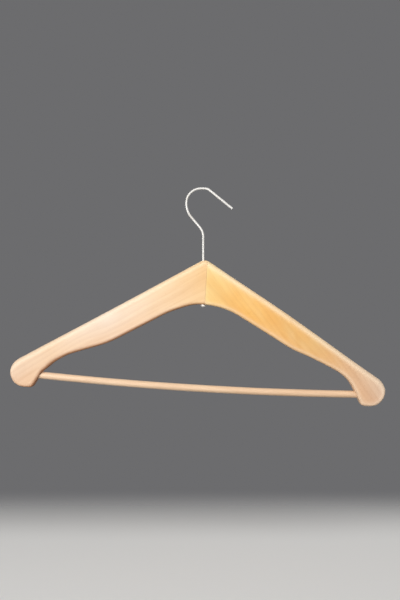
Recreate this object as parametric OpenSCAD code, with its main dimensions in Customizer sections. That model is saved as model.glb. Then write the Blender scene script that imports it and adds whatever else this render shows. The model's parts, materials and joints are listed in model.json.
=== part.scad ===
// Wooden clothes hanger with a trouser bar and a swivelling wire hook.
// The origin is the seat of the hook on its rail. X runs along the bar, the front faces -Y, Z is up.

/* [Shoulders] */
// Overall width over the two lobes
span = 419; // [360:1:460]
// Thickness of the arms from front to back
arm_t = 13; // [11:0.5:18]
// Height of the peak above the bar, before its corner is rounded
peak_h = 140.9; // [130:0.1:152]
// Distance of the peak from the middle of the hanger, to the right
peak_x = 0.8; // [-3:0.1:4]
// Radius that rounds the peak
peak_r = 9; // [3:0.5:14]
// Height of the crown of the neck arch above the bar
arch_h = 89.9; // [82:0.1:96]
// Radius of the arch under the neck
arch_r = 84; // [70:1:100]
// Distance from the waist of an arm to where its taper begins, along the bar
taper_run = 65.1; // [57:0.1:73]
// Depth of an arm where the taper begins, square to the top edge
arm_depth = 29.6; // [27:0.1:33]
// Radius that eases the start of the taper
taper_r = 150; // [80:5:200]
// Distance from the corner of the toe to the waist of an arm, along the bar
waist_run = 16.7; // [13:0.1:20]
// Depth of an arm at its waist, before its corner is rounded, square to the top edge
waist_depth = 18.2; // [16:0.1:21]
// Radius of the waist
waist_r = 36; // [20:1:44]
// How far the left arm bows up at its middle
left_bow = -0.4; // [-5:0.1:5]
// How far the right arm bows up at its middle
right_bow = 1.7; // [-5:0.1:5]

/* [Lobes] */
// Radius of the round lobe at the end of an arm
lobe_r = 16.8; // [15:0.1:20]
// Height of the centre of a lobe above the bar
lobe_h = 3.7; // [1:0.1:6]
// Width of a lobe along its lower side, from its outermost point to the corner of its toe
toe_w = 25.7; // [24:0.1:30]
// Radius that rounds the toe
toe_r = 5; // [4:0.5:13]

/* [Edges] */
// Round-over along the top edges
top_edge_r = 6; // [2:0.1:6.4]
// Round-over along the lower edges
low_edge_r = 2.6; // [1:0.1:4]

/* [Neck joint] */
// Distance of the shoulder line of the joint from the middle, to the right
joint_x = 3.1; // [0:0.1:6]
// Thickness of the tongue on the right arm
tongue_t = 5; // [4:0.1:7]
// Length of the tongue beyond the shoulder line
tongue_l = 22; // [12:0.5:34]

/* [Trouser bar] */
// Diameter of the bar
bar_d = 8; // [6:0.1:9.5]
// How far the middle of the bar sags below its ends
bar_sag = 4.1; // [0.5:0.1:6]
// Tilt of the bar, down to the right
bar_tilt = 0.3; // [-1:0.1:1]
// Depth of the blind sockets in the lobes
socket_depth = 16; // [8:0.5:24]
// Radial clearance of the bar in its sockets
socket_clear = 0.05; // [0.02:0.01:0.1]

/* [Hook] */
// Diameter of the hook wire
wire_d = 2.7; // [2:0.1:3.4]
// Radial clearance of the wire in the neck
wire_clear = 0.1; // [0.02:0.01:0.1]
// Height of the rail seat above the peak, along the wire
hook_h = 77.6; // [68:0.2:100]
// Lean of the wire to the left, from square to the bar
hook_lean = 3.2; // [0:0.1:6]
// Radius of the bow that goes over the rail
bow_r = 16; // [12:0.5:19]
// Straight run of the bow from its left curve to the rail seat
seat_run = 2.9; // [2:0.1:8]
// Straight run of the bow past the rail seat
seat_past = 1.4; // [0.5:0.1:4]
// Radius of the long curve under the left side of the bow
side_r = 23; // [14:0.5:26]
// Straight run between that curve and the bow
side_run = 1.3; // [0.8:0.1:4]
// Angle by which the wire leans out from the shank to the bow
crank_angle = 40; // [34:0.5:52]
// Radius of the crank at the top of the shank
crank_r = 16.5; // [8:0.5:20]
// Radius between the bow and the nose
nose_r = 9; // [5:0.5:14]
// Angle by which the nose falls
nose_angle = 39; // [26:1:56]
// Straight length of the nose
nose_l = 33; // [20:0.5:40]

/* [Washer and head] */
// Outer diameter of the washer under the neck
washer_d = 7; // [6.4:0.1:7.8]
// Thickness of the washer
washer_t = 1.4; // [0.6:0.1:1.8]
// Depth of the flat seat of the washer, from the crown of the arch
seat_depth = 0.5; // [0.3:0.1:1.5]
// Gap around the washer in its seat
seat_gap = 0.4; // [0.2:0.1:1]
// Diameter of the peened head of the wire
head_d = 6.2; // [4:0.1:6.4]
// Height of the peened head
head_h = 2; // [1:0.1:2.6]
// Axial play between the washer and the head
head_play = 0.05; // [0.02:0.01:0.2]

/* [Hidden] */
$fn = 64;

// Steps along the bar and sides around it
BAR_STEPS = 24;
ROD_SIDES = 48;
// Longest step around a rounded corner, as an angle and as a length, and along a straight edge
CORNER_ANGLE = 9;
CORNER_STEP = 8;
EDGE_STEP = 26;
// Steps around each edge round-over
ROUND_STEPS = 6;
// Upward slant at which the round-over has its full width
STEEP = 0.8;
// The straight runs of the wire reach this far into its bends, which are a hair thicker
WIRE_LAP = 0.3;
BEND_EXTRA = 0.02;
// A length that passes through anything on the hanger
THROUGH = 2 * span;

// Places in the frame of the shoulders, whose origin is the middle of the bar
lobe_x = span / 2 - lobe_r;
lobe_low = lobe_h - lobe_r;
toe_x = span / 2 - toe_w;
waist_x = toe_x - waist_run;
taper_x = waist_x - taper_run;
// Where the throat, from the toe up to the waist, crosses the bar
throat_h = under_edge(waist_x, waist_depth, 0) - lobe_low;
inner_x = toe_x + waist_run * lobe_low / throat_h;
socket_end = inner_x + socket_depth;
neck_mid = (arch_h + peak_h) / 2;

// The neck's middle and the washer's seat, measured down the wire from the rail seat
neck_drop = hook_h + peak_h - neck_mid;
seat_drop = neck_drop + neck_mid - arch_h - seat_depth;
head_drop = seat_drop + washer_t + head_play;

// Length of the run of wire that leads out to the bow, so that the rail seat lies over the shank
crank_l = (bow_r + seat_run - (crank_r + side_r) * (1 - cos(crank_angle))) / sin(crank_angle);
// Height of the bow over the top of the shank, along the middle of the wire
bow_h = (crank_r + side_r) * sin(crank_angle) + crank_l * cos(crank_angle) + side_run + bow_r;
// Length of the straight shank, from the peened head to the crank
shank_l = head_drop + wire_d / 2 - bow_h;
bore_r = wire_d / 2 + wire_clear;

// Radius of the long curve of the bar, and half of the angle over which it runs
bar_r = (pow(inner_x, 2) + pow(bar_sag, 2)) / (2 * bar_sag);
bar_angle = asin(socket_end / bar_r);

// Slope of the top edge of an arm on the +X side, which runs from the peak, at start, to the round of
// the lobe. The peak is off the middle of the hanger, so the slopes of the two arms differ a little.
function top_slope(start) =
    atan2(peak_h - lobe_h, lobe_x - start)
    - asin(lobe_r / norm([lobe_x - start, peak_h - lobe_h]));

// Height of the lower edge of that arm at x, for a depth that is measured square to its top edge
function under_edge(x, depth, start) =
    let (slope = top_slope(start))
    peak_h - (x - start) * tan(slope) - depth / cos(slope);

// Slope of the line from the taper that touches the round of the neck arch
function arch_slope(taper_z) =
    90 - atan2(taper_z - arch_h + arch_r, taper_x)
    - acos(arch_r / norm([taper_x, taper_z - arch_h + arch_r]));

// Corners of that arm as [x, z, radius], from the lobe round to the arch
function arm_corners(start) = [
    [start + (peak_h - lobe_low) / tan(top_slope(start)), lobe_low, lobe_r],
    [toe_x, lobe_low, toe_r],
    [waist_x, under_edge(waist_x, waist_depth, start), waist_r],
    [taper_x, under_edge(taper_x, arm_depth, start), taper_r],
];

// The point where both lower edges would meet if the arch did not round them
function arch_corner() =
    let (slope = arch_slope(under_edge(taper_x, arm_depth, 0)))
    [0, arch_h - arch_r + arch_r / cos(slope), arch_r];

function reversed(list) = [for (i = [len(list) - 1:-1:0]) list[i]];
function last(list) = list[len(list) - 1];

// All corners of the shoulders from the peak on, clockwise as seen from the front
function shoulder_corners() = [
    [peak_x, peak_h, peak_r],
    each arm_corners(peak_x),
    arch_corner(),
    each [for (c = reversed(arm_corners(-peak_x))) [-c[0], c[1], c[2]]],
];

// Heading from one corner to the next, and the turn between two headings
function heading(from, to) = atan2(to[1] - from[1], to[0] - from[0]);
function turn(from, to) = (to - from + 540) % 360 - 180;

// Points around one rounded corner as [x, z, direction that faces out of the wood]
function corner_points(before, corner, after) =
    let (h = heading(before, corner))
    let (bend = turn(h, heading(corner, after)))
    let (side = bend < 0 ? -90 : 90)
    let (radius = corner[2])
    let (back = radius * tan(abs(bend) / 2))
    let (cx = corner[0] - back * cos(h) + radius * cos(h + side))
    let (cz = corner[1] - back * sin(h) + radius * sin(h + side))
    let (steps = ceil(max(abs(bend) / CORNER_ANGLE, radius * abs(bend) * PI / 180 / CORNER_STEP)))
    [for (i = [0:steps])
        let (a = h + bend * i / steps)
        [cx + radius * cos(a - side), cz + radius * sin(a - side), a + 90]];

// Points along the straight edge between two rounded corners, without its ends
function edge_points(from, to) =
    let (steps = ceil(norm([to[0] - from[0], to[1] - from[1]]) / EDGE_STEP))
    [for (i = [1:1:steps - 1])
        let (u = i / steps)
        [from[0] + u * (to[0] - from[0]), from[1] + u * (to[1] - from[1]), from[2]]];

// The arms bow a little between the neck and the lobes
function bowed(p) =
    let (u = min(1, abs(p[0]) / lobe_x))
    [p[0], p[1] + (p[0] < 0 ? left_bow : right_bow) * pow(sin(180 * u), 2), p[2]];

// The outline in two chains: the top edges with the peak, and all the rest from lobe to lobe
function shoulder_chains() =
    let (corners = shoulder_corners())
    let (n = len(corners))
    let (rounds = [for (i = [0:n - 1])
        corner_points(corners[(i + n - 1) % n], corners[i], corners[(i + 1) % n])])
    let (edges = [for (i = [0:n - 1]) edge_points(last(rounds[i]), rounds[(i + 1) % n][0])])
    let (upper = concat(edges[n - 1], rounds[0], edges[0]))
    let (lower = [for (i = [1:n - 1]) each concat(rounds[i], i < n - 1 ? edges[i] : [])])
    [for (chain = [upper, lower]) [for (p = chain) bowed(p)]];

// Triangles that close a flat face between its upper edge, from point a to point end, and its lower
// edge, from point b back to the point after end. Each step takes the shorter way across.
function zipped(p, a, b, end) =
    a == end && b == end + 1 ? []
    : b == end + 1 || a < end && apart(p[a + 1], p[b]) < apart(p[a], p[b - 1])
        ? [[a, a + 1, b], each zipped(p, a + 1, b, end)]
        : [[a, b - 1, b], each zipped(p, a, b - 1, end)];
function apart(p, q) = norm([p[0] - q[0], p[1] - q[1]]);

// Round-over at a point of the outline: wide where it faces up, narrow where it faces in or down
function edge_round(facing) =
    let (u = max(0, min(1, sin(facing) / STEEP)))
    low_edge_r + (top_edge_r - low_edge_r) * u * u * (3 - 2 * u);

// One ring of the round-over, from the flat face (a = 0) to the side of the wood (a = 90)
function round_ring(outline, face, a) = [
    for (p = outline)
        let (r = edge_round(p[2]))
        let (inset = r * (1 - sin(a)))
        [p[0] - inset * cos(p[2]), face * (arm_t / 2 - r * (1 - cos(a))), p[1] - inset * sin(p[2])]];

// The glued shoulders in one piece, with every edge rounded over
module shoulders() {
    chains = shoulder_chains();
    outline = concat(chains[0], chains[1]);
    n = len(outline);
    rear = 2 * ROUND_STEPS + 1;
    rings = [
        for (k = [0:ROUND_STEPS]) round_ring(outline, -1, 90 * k / ROUND_STEPS),
        for (k = [ROUND_STEPS:-1:0]) round_ring(outline, 1, 90 * k / ROUND_STEPS),
    ];
    points = [for (ring = rings) each ring];
    front = zipped(outline, 0, n - 1, len(chains[0]) - 1);
    back = [for (t = front) [rear * n + t[0], rear * n + t[2], rear * n + t[1]]];
    sides = [
        for (k = [0:rear - 1])
            for (i = [0:n - 1])
                [k * n + i, (k + 1) * n + i, (k + 1) * n + (i + 1) % n, k * n + (i + 1) % n],
    ];
    polyhedron(points, concat(front, sides, back), convexity = 8);
}

// Everything right of the shoulder line of the neck joint
module right_side() {
    translate([joint_x, -THROUGH / 2, -THROUGH / 2])
        cube(THROUGH);
}

// The space of the tongue, which is open at the top and the bottom of the neck
module tongue_space() {
    translate([joint_x - tongue_l, -tongue_t / 2, -THROUGH / 2])
        cube([tongue_l, tongue_t, THROUGH]);
}

// A round rod along the sagging, tilted curve of the bar, from the bottom of one socket to the other
module sagging_rod(d) {
    rotate([0, bar_tilt, 0])
        translate([0, 0, bar_r - bar_sag])
            rotate([90, 0, 0])
                rotate([0, 0, -90 - bar_angle])
                    rotate_extrude(angle = 2 * bar_angle, $fn = BAR_STEPS * 180 / bar_angle)
                        translate([bar_r, 0])
                            circle(d = d, $fn = ROD_SIDES);
}

// The blind sockets of the bar
module sockets() {
    sagging_rod(bar_d + 2 * socket_clear);
}

// Places the frame of the shoulders under the hook
module under_hook() {
    translate([neck_drop * sin(hook_lean), 0, -neck_drop * cos(hook_lean) - neck_mid])
        children();
}

// Places something on the axis of the wire, with the rail seat at its origin
module on_wire_axis() {
    rotate([0, -hook_lean, 0])
        children();
}

// Bore of the wire through the neck
module wire_bore() {
    on_wire_axis()
        translate([0, 0, -THROUGH])
            cylinder(h = THROUGH - hook_h / 2, r = bore_r);
}

// Flat seat of the washer, cut up into the crown of the arch
module washer_seat() {
    on_wire_axis()
        translate([0, 0, -seat_drop - arch_r / 4])
            cylinder(h = arch_r / 4, d = washer_d + 2 * seat_gap);
}

module left_arm() {
    color("#ecd2ae")
        difference() {
            under_hook()
                difference() {
                    shoulders();
                    right_side();
                    tongue_space();
                    sockets();
                }
            washer_seat();
        }
}

module right_arm() {
    color("#e4bd82")
        difference() {
            under_hook()
                difference() {
                    intersection() {
                        shoulders();
                        union() {
                            right_side();
                            tongue_space();
                        }
                    }
                    sockets();
                }
            wire_bore();
            washer_seat();
        }
}

module trouser_bar() {
    color("#e6cda8")
        under_hook()
            sagging_rod(bar_d);
}

// A bend of the wire from straight up towards +X
module wire_bend(radius, angle) {
    translate([radius, 0, 0])
        rotate([90, 0, 0])
            rotate([0, 0, 180 - angle])
                rotate_extrude(angle = angle)
                    translate([radius, 0])
                        circle(d = wire_d + BEND_EXTRA);
}

// Wire along a list of runs, each a straight length and then a bend as [length, radius, angle].
// A bend with a negative angle goes towards -X. The last run has no bend.
module bent_wire(runs, i = 0) {
    run = runs[i];
    lap_in = i > 0 ? WIRE_LAP : 0;
    lap_out = i < len(runs) - 1 ? WIRE_LAP : 0;
    translate([0, 0, -lap_in])
        cylinder(h = lap_in + run[0] + lap_out, d = wire_d);
    if (i < len(runs) - 1)
        translate([0, 0, run[0]]) {
            side = run[2] < 0 ? 1 : 0;
            mirror([side, 0, 0])
                wire_bend(run[1], abs(run[2]));
            translate([sign(run[2]) * run[1] * (1 - cos(run[2])), 0, run[1] * sin(abs(run[2]))])
                rotate([0, run[2], 0])
                    bent_wire(runs, i + 1);
        }
}

module hook() {
    color("#cfd0d0")
        on_wire_axis()
            translate([0, 0, -head_drop]) {
                bent_wire([
                    [shank_l, crank_r, -crank_angle],
                    [crank_l, side_r, crank_angle],
                    [side_run, bow_r, 90],
                    [seat_run + seat_past, nose_r, nose_angle],
                    [nose_l, 0, 0],
                ]);
                peened_head();
            }
}

// Domed head that is hammered up on the lower end of the wire
module peened_head() {
    dome_r = (pow(head_d / 2, 2) + pow(head_h, 2)) / (2 * head_h);
    rotate_extrude()
        intersection() {
            translate([0, dome_r - head_h])
                circle(r = dome_r);
            translate([0, -head_h])
                square([head_d / 2, head_h]);
        }
}

module hook_washer() {
    color("#c4c4c0")
        on_wire_axis()
            translate([0, 0, -seat_drop - washer_t])
                difference() {
                    cylinder(h = washer_t, d = washer_d);
                    translate([0, 0, -washer_t])
                        cylinder(h = 3 * washer_t, r = bore_r);
                }
}

left_arm();
right_arm();
trouser_bar();
hook();
hook_washer();
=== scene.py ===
"""Looks of a wooden clothes hanger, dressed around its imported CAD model. Lengths are in metres."""

import json
import math

import bmesh
import bpy
import numpy as np
from mathutils import Matrix, Vector, noise
from mathutils.bvhtree import BVHTree

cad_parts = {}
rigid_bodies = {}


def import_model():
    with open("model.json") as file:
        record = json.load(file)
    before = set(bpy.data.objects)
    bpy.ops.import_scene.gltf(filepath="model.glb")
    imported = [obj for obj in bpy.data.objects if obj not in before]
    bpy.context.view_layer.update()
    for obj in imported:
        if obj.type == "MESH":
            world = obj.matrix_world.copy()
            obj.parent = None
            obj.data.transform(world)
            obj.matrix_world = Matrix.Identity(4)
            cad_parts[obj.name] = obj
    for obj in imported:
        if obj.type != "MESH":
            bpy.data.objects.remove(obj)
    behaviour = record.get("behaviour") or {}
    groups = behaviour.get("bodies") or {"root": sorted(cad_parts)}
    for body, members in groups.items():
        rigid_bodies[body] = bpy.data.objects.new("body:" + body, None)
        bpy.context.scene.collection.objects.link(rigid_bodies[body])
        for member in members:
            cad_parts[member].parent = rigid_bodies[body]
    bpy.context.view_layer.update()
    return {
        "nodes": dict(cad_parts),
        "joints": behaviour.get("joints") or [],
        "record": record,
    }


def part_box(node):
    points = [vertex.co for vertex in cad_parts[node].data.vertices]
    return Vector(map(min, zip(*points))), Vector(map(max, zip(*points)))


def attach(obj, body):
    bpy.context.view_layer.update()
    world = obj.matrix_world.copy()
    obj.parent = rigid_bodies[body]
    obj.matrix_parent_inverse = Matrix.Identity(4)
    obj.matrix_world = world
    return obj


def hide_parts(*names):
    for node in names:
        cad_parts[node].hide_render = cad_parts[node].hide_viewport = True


for leftover in list(bpy.data.objects):
    bpy.data.objects.remove(leftover)

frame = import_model()
nodes = frame["nodes"]
mounts = {mount["name"]: mount for mount in frame["record"]["mounts"]}

MM = 0.001

# Places and directions that the CAD model gives
wire_up = Vector(frame["joints"][0]["axis"])
wire_right = Vector((wire_up.z, 0, -wire_up.x))
to_front = wire_right.cross(wire_up)
bar_middle = Vector(mounts["trouser_bar_rest"]["pos_m"])
bar_radius = mounts["trouser_bar_rest"]["dims"]["r_mm"] * MM
peak = Vector(mounts["shoulder_rest"]["pos_m"])
joint_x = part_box("left_arm")[1].x


def ends_of_bar():
    """Heights of the middle of the bar's left and right ends."""
    low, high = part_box("trouser_bar")
    corners = [vertex.co for vertex in nodes["trouser_bar"].data.vertices]
    left = [co.z for co in corners if co.x < low.x + bar_radius / 8]
    right = [co.z for co in corners if co.x > high.x - bar_radius / 8]
    return sum(left) / len(left), sum(right) / len(right)


left_bar_z, right_bar_z = ends_of_bar()

# Photograph: its frame in pixels, and the real size of a pixel at the hanger
PHOTO_SIZE = (400, 600)
PIXEL = 1.1206 * MM
BAR_PIXEL = (197.3, 388.2)
CAMERA_DISTANCE = 0.85

# Slope of the arms' top edges, which the grain of the wood follows
ARM_SLOPE = math.radians(31)

# Hand-shaped lower edges: how much deeper than in the CAD model an arm is at most, and the distances
# from the neck joint between which it grows deeper and evens out again
LEFT_BELLY = (2.3 * MM, (5.5 * MM, 34 * MM), (95 * MM, 155 * MM))
LEFT_HEEL = (4.6 * MM, (146 * MM, 170 * MM), (173 * MM, 186 * MM))
RIGHT_WAIST = (-1.2 * MM, (95 * MM, 125 * MM), (140 * MM, 165 * MM))
# Distances under the top edge, and over the end of the bar, between which the change takes hold
SHAPED_UNDER = (12 * MM, 27 * MM)
SHAPED_OVER_BAR = (1 * MM, 15 * MM)


# Helpers for node trees


def add_node(tree, kind, inputs=None, **settings):
    """A node with its settings, and with inputs that are values or other nodes' sockets."""
    made = tree.nodes.new(kind)
    for key, value in settings.items():
        setattr(made, key, value)
    for key, value in (inputs or {}).items():
        if isinstance(value, bpy.types.NodeSocket):
            tree.links.new(value, made.inputs[key])
        else:
            made.inputs[key].default_value = value
    return made


def calc(tree, operation, a, b=0.0, c=0.0):
    return add_node(tree, "ShaderNodeMath", {0: a, 1: b, 2: c}, operation=operation).outputs[0]


def clamped_range(tree, value, low, high, to_low=0.0, to_high=1.0):
    """The value carried from one range to another with soft ends."""
    limits = {"Value": value, "From Min": low, "From Max": high, "To Min": to_low, "To Max": to_high}
    made = add_node(tree, "ShaderNodeMapRange", limits, interpolation_type="SMOOTHSTEP")
    return made.outputs["Result"]


def mixed(tree, factor, a, b, blend="MIX"):
    inputs = {"Factor": factor, 6: a, 7: b}
    made = add_node(tree, "ShaderNodeMix", inputs, data_type="RGBA", blend_type=blend)
    return made.outputs[2]


def stretched(tree, vector, scale):
    return add_node(tree, "ShaderNodeVectorMath", {0: vector, 1: scale}, operation="MULTIPLY").outputs[0]


def noise_of(tree, vector, scale=1.0, detail=2.0, roughness=0.5):
    inputs = {"Vector": vector, "Scale": scale, "Detail": detail, "Roughness": roughness}
    return add_node(tree, "ShaderNodeTexNoise", inputs).outputs["Fac"]


def ramp(tree, factor, stops):
    """A colour ramp through stops of (place, colour)."""
    made = add_node(tree, "ShaderNodeValToRGB", {"Fac": factor})
    elements = made.color_ramp.elements
    while len(elements) < len(stops):
        elements.new(0.5)
    for element, (place, colour) in zip(elements, stops):
        element.position = place
        element.color = colour
    return made.outputs["Color"]


def srgb(red, green, blue):
    """A colour given in display values of 0 to 255, as the linear RGBA that shaders take."""
    def linear(value):
        v = value / 255
        return v / 12.92 if v <= 0.04045 else ((v + 0.055) / 1.055) ** 2.4
    return (linear(red), linear(green), linear(blue), 1.0)


def new_material(name):
    material = bpy.data.materials.new(name)
    material.use_nodes = True
    tree = material.node_tree
    return material, tree, tree.nodes["Principled BSDF"]


# Materials

# Features of the grain per metre along it, through the arm and across it
BEND_GRAIN = (9, 30, 30)
FIBRE_GRAIN = (16, 700, 700)
STREAK_GRAIN = (5, 90, 90)
BLOTCH_GRAIN = (24, 60, 60)
FLECK_GRAIN = (330, 1700, 1700)

# Growth rings: their spacing, and how far they are bent
RING_SPACING = 5.5 * MM
RING_BEND = 22 * MM

# Stains that are multiplied with the wood's tone, the brown one both dirt and painted shade, and the bare
# wood of rubbed edges, also a painted highlight there
TAN_STAIN = srgb(255, 242, 226)
DARK_STAIN = srgb(206, 168, 130)
AMBER_STAIN = srgb(250, 218, 158)
# Brown of the lower inner edges: dirt and painted shade together
GRIME_AND_SHADE_STAIN = srgb(156, 104, 54)
# Bare wood of pale patches and worn edges; on the edges it is also a painted highlight
BARE_WOOD_AND_HIGHLIGHT = srgb(255, 236, 208)

# Distances along an arm from the neck, and across it from its grain line, between which a stain changes
TAN_ALONG = (50 * MM, 110 * MM)
TAN_ACROSS = (-8 * MM, 12 * MM)
AMBER_ENDS = (150 * MM, 200 * MM)

# Strengths of the wood's markings, and how far bare wood bleaches the tone
PALE_PATCHES = 0.12
LATEWOOD = 0.10
STREAKS = 0.14
FIBRES = 0.16
FLECKS = 0.18
BLEACHED = 0.6

# Finish: the range of roughness, what rubbing adds to it, and the depth of the fine relief
LACQUER_IOR = 1.47
LACQUER_ROUGHNESS = (0.42, 0.58)
RUBBED_ROUGHER = 0.12
WOOD_RELIEF = 0.12 * MM
STEEL_ROUGHNESS = (0.60, 0.72)
STEEL_RELIEF = 0.03 * MM


def beech(name, origin, angle, patina, pith, skew=0.0, amber=0.0, tan=0.0, wear_and_highlight=0.0, wear_and_highlight_under=0.0,
          grime_and_shade=0.0, inner_side=0):
    """Lacquered beech for a piece that runs from origin at an angle in the X-Z plane.

    patina holds (distance along the piece, colour) stops. The grain is turned from the piece's run
    by skew, and pith is the heart of the tree, across the grain in Y and Z, round which the growth
    rings lie. amber is the strength of the golden blotches of old lacquer, and tan that of the deeper
    colour of the outer half towards its lower edge. wear and wear_and_highlight_under are the strengths of
    the pale bare wood along the worn edges above and below, which also stands as a painted highlight there.
    grime is the strength of the brown along the edges inside the hanger, which is partly dirt and
    partly painted shade on the edges that face down and inwards; that side lies towards +X or -X of
    an arm as inner_side is 1 or -1.
    """
    material, tree, shader = new_material(name)
    coordinates = add_node(tree, "ShaderNodeTexCoord")

    def turned(about_y):
        place = coordinates.outputs["Object"]
        mapping = {"Vector": place, "Location": origin, "Rotation": (0, about_y, 0)}
        return add_node(tree, "ShaderNodeMapping", mapping, vector_type="TEXTURE").outputs[0]

    along, _, sideways = add_node(tree, "ShaderNodeSeparateXYZ", {0: turned(angle)}).outputs
    grain = turned(angle + skew)
    _, through, across = add_node(tree, "ShaderNodeSeparateXYZ", {0: grain}).outputs

    # Growth rings: distance from the pith, bent by a slow noise
    bend = noise_of(tree, stretched(tree, grain, BEND_GRAIN), detail=1.0)
    ring_y = calc(tree, "SUBTRACT", through, pith[0])
    ring_z = calc(tree, "SUBTRACT", across, pith[1])
    radius = calc(tree, "SQRT", calc(tree, "ADD", calc(tree, "MULTIPLY", ring_y, ring_y),
                                     calc(tree, "MULTIPLY", ring_z, ring_z)))
    radius = calc(tree, "MULTIPLY_ADD", bend, RING_BEND, radius)
    phase = calc(tree, "FRACT", calc(tree, "DIVIDE", radius, RING_SPACING))
    latewood = calc(tree, "MULTIPLY", clamped_range(tree, phase, 0.2, 0.9),
                    clamped_range(tree, phase, 1.0, 0.92))

    # Fibres, soft streaks, blotches and the short dark flecks of beech rays
    fibres = noise_of(tree, stretched(tree, grain, FIBRE_GRAIN), detail=3.0, roughness=0.6)
    streaks = noise_of(tree, stretched(tree, grain, STREAK_GRAIN), detail=2.0)
    blotches = noise_of(tree, stretched(tree, grain, BLOTCH_GRAIN), detail=3.0)
    fleck_inputs = {"Vector": stretched(tree, grain, FLECK_GRAIN), "Scale": 1.0, "Randomness": 1.0}
    cells = add_node(tree, "ShaderNodeTexVoronoi", fleck_inputs)
    fleck_shape = clamped_range(tree, cells.outputs["Distance"], 0.34, 0.16)
    fleck_drawn = add_node(tree, "ShaderNodeSeparateColor", {0: cells.outputs["Color"]}).outputs[0]
    flecks = calc(tree, "MULTIPLY", fleck_shape, clamped_range(tree, fleck_drawn, 0.55, 0.75))

    # Edges: where the skin leans away from the flat front and back, pale as worn wood and a painted
    # highlight, or brown inside as dirt and painted shade
    lean = add_node(tree, "ShaderNodeAttribute", attribute_name="lean").outputs["Vector"]
    aside, _, rising = add_node(tree, "ShaderNodeSeparateXYZ", {0: lean}).outputs
    turn = calc(tree, "SQRT", calc(tree, "ADD", calc(tree, "MULTIPLY", aside, aside),
                                   calc(tree, "MULTIPLY", rising, rising)))
    # Pale worn wood on the edges, stronger on the upper ones, also a painted highlight
    rub_and_light = clamped_range(tree, rising, -0.1, 0.1, wear_and_highlight_under, wear_and_highlight)
    rub_and_light = calc(tree, "MULTIPLY", rub_and_light, clamped_range(tree, streaks, 0.25, 0.55, 0.7, 1.0))
    rubbed_and_lit = calc(tree, "MULTIPLY", clamped_range(tree, turn, 0.0, 0.42), rub_and_light)
    # Brown on the edges that face down and inwards: dirt and painted shade
    inside = calc(tree, "SUBTRACT", calc(tree, "MULTIPLY", aside, inner_side), rising)
    dirt_and_shade = clamped_range(tree, inside, 0.14, 0.80, 0.0, grime_and_shade)

    # Colour: the patina along the arm, then lacquer, grain, worn pale edges with painted highlight, and
    # brown edges of dirt and painted shade over it
    length = patina[-1][0]
    stops = [(place / length, colour) for place, colour in patina]
    tone = ramp(tree, calc(tree, "DIVIDE", along, length), stops)
    lower = clamped_range(tree, calc(tree, "MULTIPLY", sideways, inner_side), *TAN_ACROSS, 0.0, tan)
    tanned = calc(tree, "MULTIPLY", lower, clamped_range(tree, along, *TAN_ALONG))
    tone = mixed(tree, tanned, tone, mixed(tree, 1.0, tone, TAN_STAIN, "MULTIPLY"))
    dark = mixed(tree, 1.0, tone, DARK_STAIN, "MULTIPLY")
    golden = mixed(tree, 1.0, tone, AMBER_STAIN, "MULTIPLY")
    # Pale bare wood, for the pale patches and for the worn edges, where it is also a painted highlight
    pale = mixed(tree, BLEACHED, tone, BARE_WOOD_AND_HIGHLIGHT)
    lacquer = calc(tree, "MULTIPLY", clamped_range(tree, blotches, 0.35, 0.70, 0.0, amber),
                   clamped_range(tree, along, *reversed(AMBER_ENDS)))
    colour = mixed(tree, lacquer, tone, golden)
    colour = mixed(tree, clamped_range(tree, blotches, 0.50, 0.28, 0.0, PALE_PATCHES), colour, pale)
    colour = mixed(tree, calc(tree, "MULTIPLY", latewood, LATEWOOD), colour, dark)
    colour = mixed(tree, clamped_range(tree, streaks, 0.48, 0.75, 0.0, STREAKS), colour, dark)
    colour = mixed(tree, clamped_range(tree, fibres, 0.5, 0.8, 0.0, FIBRES), colour, dark)
    colour = mixed(tree, calc(tree, "MULTIPLY", flecks, FLECKS), colour, dark)
    # Worn pale edges, also a painted highlight
    colour = mixed(tree, rubbed_and_lit, colour, pale)
    # Brown inner edges, dirt and painted shade
    colour = mixed(tree, dirt_and_shade, colour, mixed(tree, 1.0, tone, GRIME_AND_SHADE_STAIN, "MULTIPLY"))
    tree.links.new(colour, shader.inputs["Base Color"])

    # Lacquer: worn and uneven, dull where it is rubbed away
    worn = noise_of(tree, coordinates.outputs["Object"], scale=60.0, detail=4.0, roughness=0.6)
    dull = clamped_range(tree, worn, 0.3, 0.75, *LACQUER_ROUGHNESS)
    dull = calc(tree, "MULTIPLY_ADD", rubbed_and_lit, RUBBED_ROUGHER, dull)
    tree.links.new(dull, shader.inputs["Roughness"])
    shader.inputs["IOR"].default_value = LACQUER_IOR
    relief = calc(tree, "SUBTRACT", calc(tree, "MULTIPLY", worn, 0.3),
                  calc(tree, "MULTIPLY_ADD", fibres, 0.3, calc(tree, "MULTIPLY", flecks, 0.3)))
    bump = add_node(tree, "ShaderNodeBump", {"Height": relief, "Strength": 0.25, "Distance": WOOD_RELIEF})
    tree.links.new(bump.outputs[0], shader.inputs["Normal"])
    return material


def drawn_steel(name, colour, dull, tarnish):
    """Bright drawn wire, softly uneven, with duller, warmer places."""
    material, tree, shader = new_material(name)
    coordinates = add_node(tree, "ShaderNodeTexCoord").outputs["Object"]
    uneven = noise_of(tree, coordinates, scale=60.0, detail=1.0)
    spots = clamped_range(tree, uneven, 0.45, 0.75, 0.0, tarnish)
    tree.links.new(mixed(tree, spots, colour, dull), shader.inputs["Base Color"])
    shader.inputs["Metallic"].default_value = 1.0
    rough = clamped_range(tree, uneven, 0.3, 0.75, *STEEL_ROUGHNESS)
    tree.links.new(rough, shader.inputs["Roughness"])
    fine = noise_of(tree, coordinates, scale=3000.0)
    bump = add_node(tree, "ShaderNodeBump", {"Height": fine, "Strength": 0.03, "Distance": STEEL_RELIEF})
    tree.links.new(bump.outputs[0], shader.inputs["Normal"])
    return material


# Pieces

# Least turn between two faces that is shaded as an arris
CRISP_ANGLE = math.radians(40)
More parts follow.
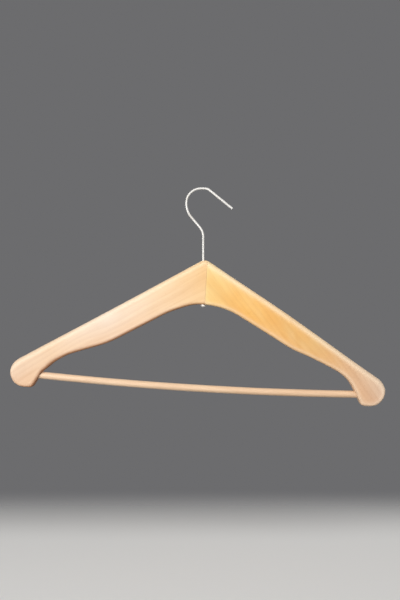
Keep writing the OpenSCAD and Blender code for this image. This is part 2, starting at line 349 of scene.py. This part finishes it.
# Least share of a normal along an axis for a face that counts as square to that axis
SQUARE = 0.99
# Glued shoulders of the neck joint: how near to it they lie, and how far they face aside at least
SHOULDER_REACH = 1 * MM
SHOULDER_ASIDE = 0.7

# Distance within which corners of a CAD arm count as one
WELD_REACH = 0.001 * MM
# Sanding of the arms, and wear of the bar: how deep, and how far from one dip to the next
SANDING_DEPTH = 0.1 * MM
SANDING_WAVE = 18 * MM
BAR_WEAR = 0.05 * MM
BAR_WAVE = 30 * MM


def new_piece(name, mesh):
    piece = bpy.data.objects.new(name, mesh)
    bpy.context.scene.collection.objects.link(piece)
    return piece


def swept(name, rings):
    """A closed piece through rings of points, each with as many points, capped at both ends."""
    shape = bmesh.new()
    rows = [[shape.verts.new(point) for point in ring] for ring in rings]
    for row, following in zip(rows, rows[1:]):
        for k in range(len(row)):
            after = (k + 1) % len(row)
            shape.faces.new((row[k], row[after], following[after], following[k]))
    shape.faces.new(list(reversed(rows[0])))
    shape.faces.new(rows[-1])
    bmesh.ops.recalc_face_normals(shape, faces=shape.faces)
    mesh = bpy.data.meshes.new(name)
    shape.to_mesh(mesh)
    shape.free()
    shade(mesh)
    return new_piece(name, mesh)


def shade(mesh):
    """Smooth shading, with crisp arrises."""
    mesh.shade_smooth()
    mesh.set_sharp_from_angle(angle=CRISP_ANGLE)


def apply_modifiers(piece):
    evaluated = piece.evaluated_get(bpy.context.evaluated_depsgraph_get())
    mesh = bpy.data.meshes.new_from_object(evaluated)
    piece.modifiers.clear()
    piece.data = mesh


def close_joint(piece, node, reach):
    """Brings the arrises of the neck joint, which remeshing eased, back to the skin of the CAD arm."""
    cad = nodes[node].data
    tongue_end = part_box("right_arm")[0].x
    half_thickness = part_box("left_arm")[1].y

    def hidden(face):
        shoulder = abs(face.normal.x) > SQUARE
        cheek = abs(face.normal.y) > SQUARE and abs(face.center.y) < half_thickness - reach
        return shoulder or cheek

    skin = [list(face.vertices) for face in cad.polygons if not hidden(face)]
    tree = BVHTree.FromPolygons([vertex.co for vertex in cad.vertices], skin)
    for vertex in piece.data.vertices:
        if tongue_end - 2 * reach < vertex.co.x < joint_x + 2 * reach:
            place, _, _, distance = tree.find_nearest(vertex.co)
            if distance < reach:
                vertex.co = place


def lean_of_edges(mesh, rounds=70):
    """Stores how far the skin leans at or near each point: its normals, blurred over the surface.

    The shoulders of the neck joint don't count, so no edge shows there.
    """
    count = len(mesh.vertices)
    normals = np.empty(count * 3, dtype=np.float32)
    mesh.vertex_normals.foreach_get("vector", normals)
    places = np.empty(count * 3, dtype=np.float32)
    mesh.vertices.foreach_get("co", places)
    ends = np.empty(len(mesh.edges) * 2, dtype=np.int32)
    mesh.edges.foreach_get("vertices", ends)
    start, end = ends.reshape(-1, 2).T
    lean = normals.reshape(-1, 3)
    at_joint = np.abs(places[0::3] - joint_x) < SHOULDER_REACH
    shoulder = at_joint & (np.abs(lean[:, 0]) > SHOULDER_ASIDE)
    weight = np.where(shoulder, 0.0, 1.0)
    fields = [lean[:, axis] * weight for axis in range(3)] + [weight]
    shares = 1 + np.bincount(start, minlength=count) + np.bincount(end, minlength=count)

    def blurred(field):
        neighbours = np.bincount(start, field[end], count) + np.bincount(end, field[start], count)
        return (field + neighbours) / shares

    for _ in range(rounds):
        fields = [blurred(field) for field in fields]
    spread = np.stack(fields[:3], axis=1) / np.maximum(fields[3], 1e-6)[:, None]
    mesh.attributes.new("lean", "FLOAT_VECTOR", "POINT").data.foreach_set("vector", spread.ravel())


def smooth_step(value, low, high):
    share = min(max((value - low) / (high - low), 0.0), 1.0)
    return share * share * (3 - 2 * share)


def hand_shaping(place):
    """How far the wood at a place lies lower than in the CAD model, clear of the bar's sockets."""
    out = abs(place.x - joint_x)
    under = peak.z - out * math.tan(ARM_SLOPE) - place.z
    changes = (LEFT_BELLY, LEFT_HEEL) if place.x < joint_x else (RIGHT_WAIST,)
    lower = 0.0
    for deeper, growing, ending in changes:
        lower += deeper * smooth_step(out, *growing) * (1 - smooth_step(out, *ending))
    over_bar = place.z - (left_bar_z if place.x < joint_x else right_bar_z)
    return lower * smooth_step(under, *SHAPED_UNDER) * smooth_step(over_bar, *SHAPED_OVER_BAR)


def sanded_arm(node, name, voxel=0.55 * MM):
    """A dense copy of a CAD arm with eased edges and the small differences that hand work leaves."""
    piece = new_piece(name, nodes[node].data.copy())
    piece.modifiers.new("weld", "WELD").merge_threshold = WELD_REACH
    remesh = piece.modifiers.new("remesh", "REMESH")
    remesh.mode = "VOXEL"
    remesh.voxel_size = voxel
    piece.modifiers.new("ease", "SMOOTH").iterations = 8
    apply_modifiers(piece)
    close_joint(piece, node, reach=2 * voxel)
    normals = [normal.vector.copy() for normal in piece.data.vertex_normals]
    for vertex, normal in zip(piece.data.vertices, normals):
        uneven = SANDING_DEPTH * noise.noise(vertex.co / SANDING_WAVE)
        lowered = hand_shaping(vertex.co)
        vertex.co += uneven * Vector((0, normal.y, normal.z))
        vertex.co.z -= lowered
    shade(piece.data)
    lean_of_edges(piece.data)
    return piece


def turned_bar(name, sides=48, steps=220):
    """The trouser bar as a long, slightly uneven dowel along the sagging line of the CAD bar."""
    low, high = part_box("trouser_bar")
    half = (high.x - low.x) / 2
    rise = (left_bar_z + right_bar_z) / 2 - bar_middle.z
    tilt = (right_bar_z - left_bar_z) / 2
    rings = []
    for i in range(steps + 1):
        u = 2 * i / steps - 1
        x = (low.x + high.x) / 2 + half * u
        centre = Vector((x, 0, bar_middle.z + rise * u * u + tilt * u))
        ring = []
        for k in range(sides):
            around = 2 * math.pi * k / sides
            out = Vector((0, math.cos(around), math.sin(around)))
            uneven = noise.noise(Vector((x / BAR_WAVE, 1.5 * out.y, 1.5 * out.z)))
            ring.append(centre + out * (bar_radius + BAR_WEAR * (uneven - 0.6)))
        rings.append(ring)
    return swept(name, rings)


# Hook wire: its bends as radii at the middle of the wire, its angles and its straight runs
WIRE_RADIUS = 1.35 * MM
BOW_RADIUS = 16 * MM
SEAT_RUN = 2.9 * MM
SIDE_RUN = 1.3 * MM
SIDE_RADIUS = 23 * MM
CRANK_RADIUS = 16.5 * MM
CRANK_ANGLE = math.radians(40)
SEAT_PAST = 1.4 * MM
NOSE_RADIUS = 9 * MM
NOSE_ANGLE = math.radians(39)
NOSE_RUN = 33 * MM
# Cut tip: the chamfer's length, and the radius of the end face as a share of the wire's
TIP_CHAMFER = 0.3 * MM
TIP_FACE = 0.72
# Peened head: its size, and the shares of its height at which it is drawn
HEAD_RADIUS = 3.1 * MM
HEAD_HEIGHT = 2 * MM
HEAD_DROPS = (0, 0.1, 0.25, 0.45, 0.65, 0.8, 0.91, 0.98)


def wire_path(heading, runs, straight_step=2 * MM, bend_step=math.radians(4)):
    """Places and headings along the wire from over the rail seat, in the plane of the hook.

    Each run is a straight length, then a bend of a radius and an angle.
    """
    place = Vector((0, WIRE_RADIUS))
    path = []
    for length, radius, angle in runs:
        straight = max(1, round(length / straight_step))
        for _ in range(straight):
            place = place + length / straight * Vector((math.cos(heading), math.sin(heading)))
            path.append((place, heading))
        bends = max(1, round(abs(angle) / bend_step))
        for _ in range(bends):
            if angle:
                chord = 2 * radius * math.sin(abs(angle) / bends / 2)
                halfway = heading + angle / bends / 2
                place = place + chord * Vector((math.cos(halfway), math.sin(halfway)))
                heading += angle / bends
                path.append((place, heading))
    return path


def bent_hook(name, sides=20):
    """The hook as one swept wire, from its cut tip to the peened head under the neck."""
    head_low = -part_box("hook")[0].z / wire_up.z
    head_top = head_low - HEAD_HEIGHT
    bends = CRANK_RADIUS + SIDE_RADIUS
    crank_run = BOW_RADIUS + SEAT_RUN - bends * (1 - math.cos(CRANK_ANGLE))
    crank_run /= math.sin(CRANK_ANGLE)
    crank_low = bends * math.sin(CRANK_ANGLE) + crank_run * math.cos(CRANK_ANGLE) + SIDE_RUN + BOW_RADIUS
    shank_run = head_top + WIRE_RADIUS - crank_low
    tip = wire_path(0, [(SEAT_PAST, NOSE_RADIUS, -NOSE_ANGLE), (NOSE_RUN, 0, 0)])
    shank = wire_path(math.pi, [
        (SEAT_RUN, BOW_RADIUS, math.pi / 2),
        (SIDE_RUN, SIDE_RADIUS, CRANK_ANGLE),
        (crank_run, CRANK_RADIUS, -CRANK_ANGLE),
        (shank_run, 0, 0),
    ])
    end_place, end_heading = tip[-1]
    end_way = Vector((math.cos(end_heading), math.sin(end_heading)))
    stations = [(end_place, end_heading + math.pi, TIP_FACE * WIRE_RADIUS)]
    stations += [(place, heading + math.pi, WIRE_RADIUS) for place, heading in reversed(tip)]
    stations[1] = (end_place - TIP_CHAMFER * end_way, end_heading + math.pi, WIRE_RADIUS)
    stations += [(place, heading, WIRE_RADIUS) for place, heading in shank]
    for drop in HEAD_DROPS:
        place = Vector((0, -head_top - drop * HEAD_HEIGHT))
        stations.append((place, -math.pi / 2, HEAD_RADIUS * math.sqrt(1 - drop ** 3)))
    rings = []
    for place, heading, radius in stations:
        middle = wire_right * place.x + wire_up * place.y
        sideways = wire_right * -math.sin(heading) + wire_up * math.cos(heading)
        ring = []
        for k in range(sides):
            around = 2 * math.pi * k / sides
            ring.append(middle + radius * (to_front * math.cos(around) + sideways * math.sin(around)))
        rings.append(ring)
    return swept(name, rings)


def dress(piece, body, node, material):
    """Lets a piece stand for a CAD node on its body, with its finish."""
    piece.data.materials.clear()
    piece.data.materials.append(material)
    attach(piece, body)
    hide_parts(node)


# Finishes: where an arm's grain starts, under the peak, and the tones along each piece
GRAIN_UNDER_PEAK = 20 * MM
neck = Vector((joint_x, 0, peak.z - GRAIN_UNDER_PEAK))
left_patina = [
    (0.000, srgb(233, 192, 136)),
    (0.050, srgb(235, 203, 164)),
    (0.120, srgb(231, 208, 186)),
    (0.190, srgb(226, 194, 160)),
    (0.250, srgb(221, 190, 162)),
]
right_patina = [
    (0.000, srgb(238, 205, 138)),
    (0.060, srgb(235, 181, 96)),
    (0.140, srgb(224, 181, 116)),
    (0.185, srgb(222, 180, 136)),
    (0.250, srgb(216, 188, 166)),
]
bar_patina = [
    (0.000, srgb(234, 202, 170)),
    (0.200, srgb(230, 197, 162)),
    (0.400, srgb(228, 192, 156)),
]

# wear sets the pale edges with painted highlight, grime the brown edges with dirt and painted shade
left_wood = beech("pale_beech", neck, math.pi - ARM_SLOPE, left_patina, pith=(0.05, -0.07), amber=0.1,
                  tan=0.75, wear_and_highlight=0.45, grime_and_shade=0.75, inner_side=1)
right_wood = beech("golden_beech", neck, ARM_SLOPE, right_patina, pith=(-0.04, -0.09),
                   skew=math.radians(18), amber=0.4, tan=0.9, wear_and_highlight=0.82, wear_and_highlight_under=0.5, grime_and_shade=0.1,
                   inner_side=-1)
bar_start = Vector((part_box("trouser_bar")[0].x, 0, bar_middle.z))
bar_wood = beech("bar_beech", bar_start, 0, bar_patina, pith=(0.02, 0.03))
wire_steel = drawn_steel("hook_wire", srgb(228, 226, 222), srgb(200, 192, 180), 0.4)
washer_steel = drawn_steel("washer_steel", srgb(240, 236, 230), srgb(196, 182, 164), 0.5)

dress(sanded_arm("left_arm", "left_arm_sanded"), "frame", "left_arm", left_wood)
dress(sanded_arm("right_arm", "right_arm_sanded"), "frame", "right_arm", right_wood)
dress(turned_bar("trouser_bar_turned"), "frame", "trouser_bar", bar_wood)
dress(bent_hook("hook_bent"), "hook", "hook", wire_steel)
washer = nodes["hook_washer"]
washer.data.materials.clear()
washer.data.materials.append(washer_steel)
bevel = washer.modifiers.new("eased_rim", "BEVEL")
bevel.width = 0.15 * MM
bevel.segments = 3


# Stage

# Height at which the lamps aim, and the floor and the room round the hanger
LIT_HEIGHT = -0.14
FLOOR_REACH = 2.0
FLOOR_COLOUR = (0.74, 0.73, 0.71, 1)
ROOM_IN_FRONT = (0.35, 0.35, 0.35, 1)
ROOM_BEHIND = (0.15, 0.15, 0.155, 1)


def area_light(name, place, target, size, power, shines=True):
    """A soft lamp, seen as a gleam on the pieces only if it shines."""
    light = bpy.data.lights.new(name, "AREA")
    light.size = size
    light.energy = power
    lamp = bpy.data.objects.new(name, light)
    lamp.location = place
    lamp.rotation_euler = (Vector(target) - Vector(place)).to_track_quat("-Z", "Y").to_euler()
    lamp.visible_camera = False
    lamp.visible_glossy = shines
    bpy.context.scene.collection.objects.link(lamp)


def pale_floor(height, centre_y, round_fade, back_fade):
    """A pale floor, square to the hook's shank, that fades all round, and sooner behind the hanger.

    The fades are the distances from the floor's centre where it starts to go and where it is gone.
    """
    mesh = bpy.data.meshes.new("floor")
    corners = [(FLOOR_REACH * x, FLOOR_REACH * y, 0) for x, y in ((-1, -1), (1, -1), (1, 1), (-1, 1))]
    mesh.from_pydata(corners, [], [(0, 1, 2, 3)])
    floor = bpy.data.objects.new("floor", mesh)
    level = Matrix((wire_right, -to_front, wire_up)).transposed().to_4x4()
    floor.matrix_world = Matrix.Translation((bar_middle.x, centre_y, height)) @ level
    bpy.context.scene.collection.objects.link(floor)
    material, tree, shader = new_material("floor_pale")
    shader.inputs["Base Color"].default_value = FLOOR_COLOUR
    shader.inputs["Roughness"].default_value = 0.8
    place = add_node(tree, "ShaderNodeTexCoord").outputs["Object"]
    distance = add_node(tree, "ShaderNodeVectorMath", {0: place}, operation="LENGTH").outputs["Value"]
    behind = add_node(tree, "ShaderNodeSeparateXYZ", {0: place}).outputs[1]
    solid = calc(tree, "MULTIPLY", clamped_range(tree, distance, round_fade[1], round_fade[0]),
                 clamped_range(tree, behind, back_fade[1], back_fade[0]))
    tree.links.new(solid, shader.inputs["Alpha"])
    mesh.materials.append(material)
    floor.visible_diffuse = False


def studio():
    """Soft light from the front left, above and behind, in a room that is pale in front and grey behind."""
    centre = (bar_middle.x, 0, LIT_HEIGHT)
    area_light("key", (-0.9, -1.25, 0.2), centre, size=1.0, power=18.5)
    area_light("top", (0.5, -0.5, 1.0), centre, size=0.9, power=7)
    area_light("fill", (0.1, -1.4, -0.5), centre, size=1.0, power=8.5)
    area_light("back", (0.6, 1.5, 0.1), centre, size=1.2, power=14, shines=False)
    world = bpy.context.scene.world or bpy.data.worlds.new("studio")
    bpy.context.scene.world = world
    world.use_nodes = True
    tree = world.node_tree
    direction = add_node(tree, "ShaderNodeTexCoord").outputs["Generated"]
    forward = add_node(tree, "ShaderNodeSeparateXYZ", {0: direction}).outputs[1]
    room = mixed(tree, clamped_range(tree, forward, -0.2, -0.8), ROOM_BEHIND, ROOM_IN_FRONT)
    tree.links.new(room, tree.nodes["Background"].inputs["Color"])
    bpy.context.scene.view_settings.view_transform = "Standard"


def camera():
    """A camera square to the hanger's front, rolled so that the hook's shank stands upright."""
    data = bpy.data.cameras.new("camera")
    data.sensor_fit = "VERTICAL"
    frame_height = PHOTO_SIZE[1] * PIXEL
    data.lens = data.sensor_height * CAMERA_DISTANCE / frame_height
    across = (PHOTO_SIZE[0] / 2 - BAR_PIXEL[0]) * PIXEL
    above = (BAR_PIXEL[1] - PHOTO_SIZE[1] / 2) * PIXEL
    eye = bar_middle + wire_right * across + wire_up * above + to_front * CAMERA_DISTANCE
    made = bpy.data.objects.new("camera", data)
    turned = Matrix((wire_right, wire_up, to_front)).transposed().to_4x4()
    made.matrix_world = Matrix.Translation(eye) @ turned
    bpy.context.scene.collection.objects.link(made)
    bpy.context.scene.camera = made


pale_floor(height=-0.39, centre_y=-0.4, round_fade=(0.55, 0.95), back_fade=(0.38, 0.62))
studio()
camera()
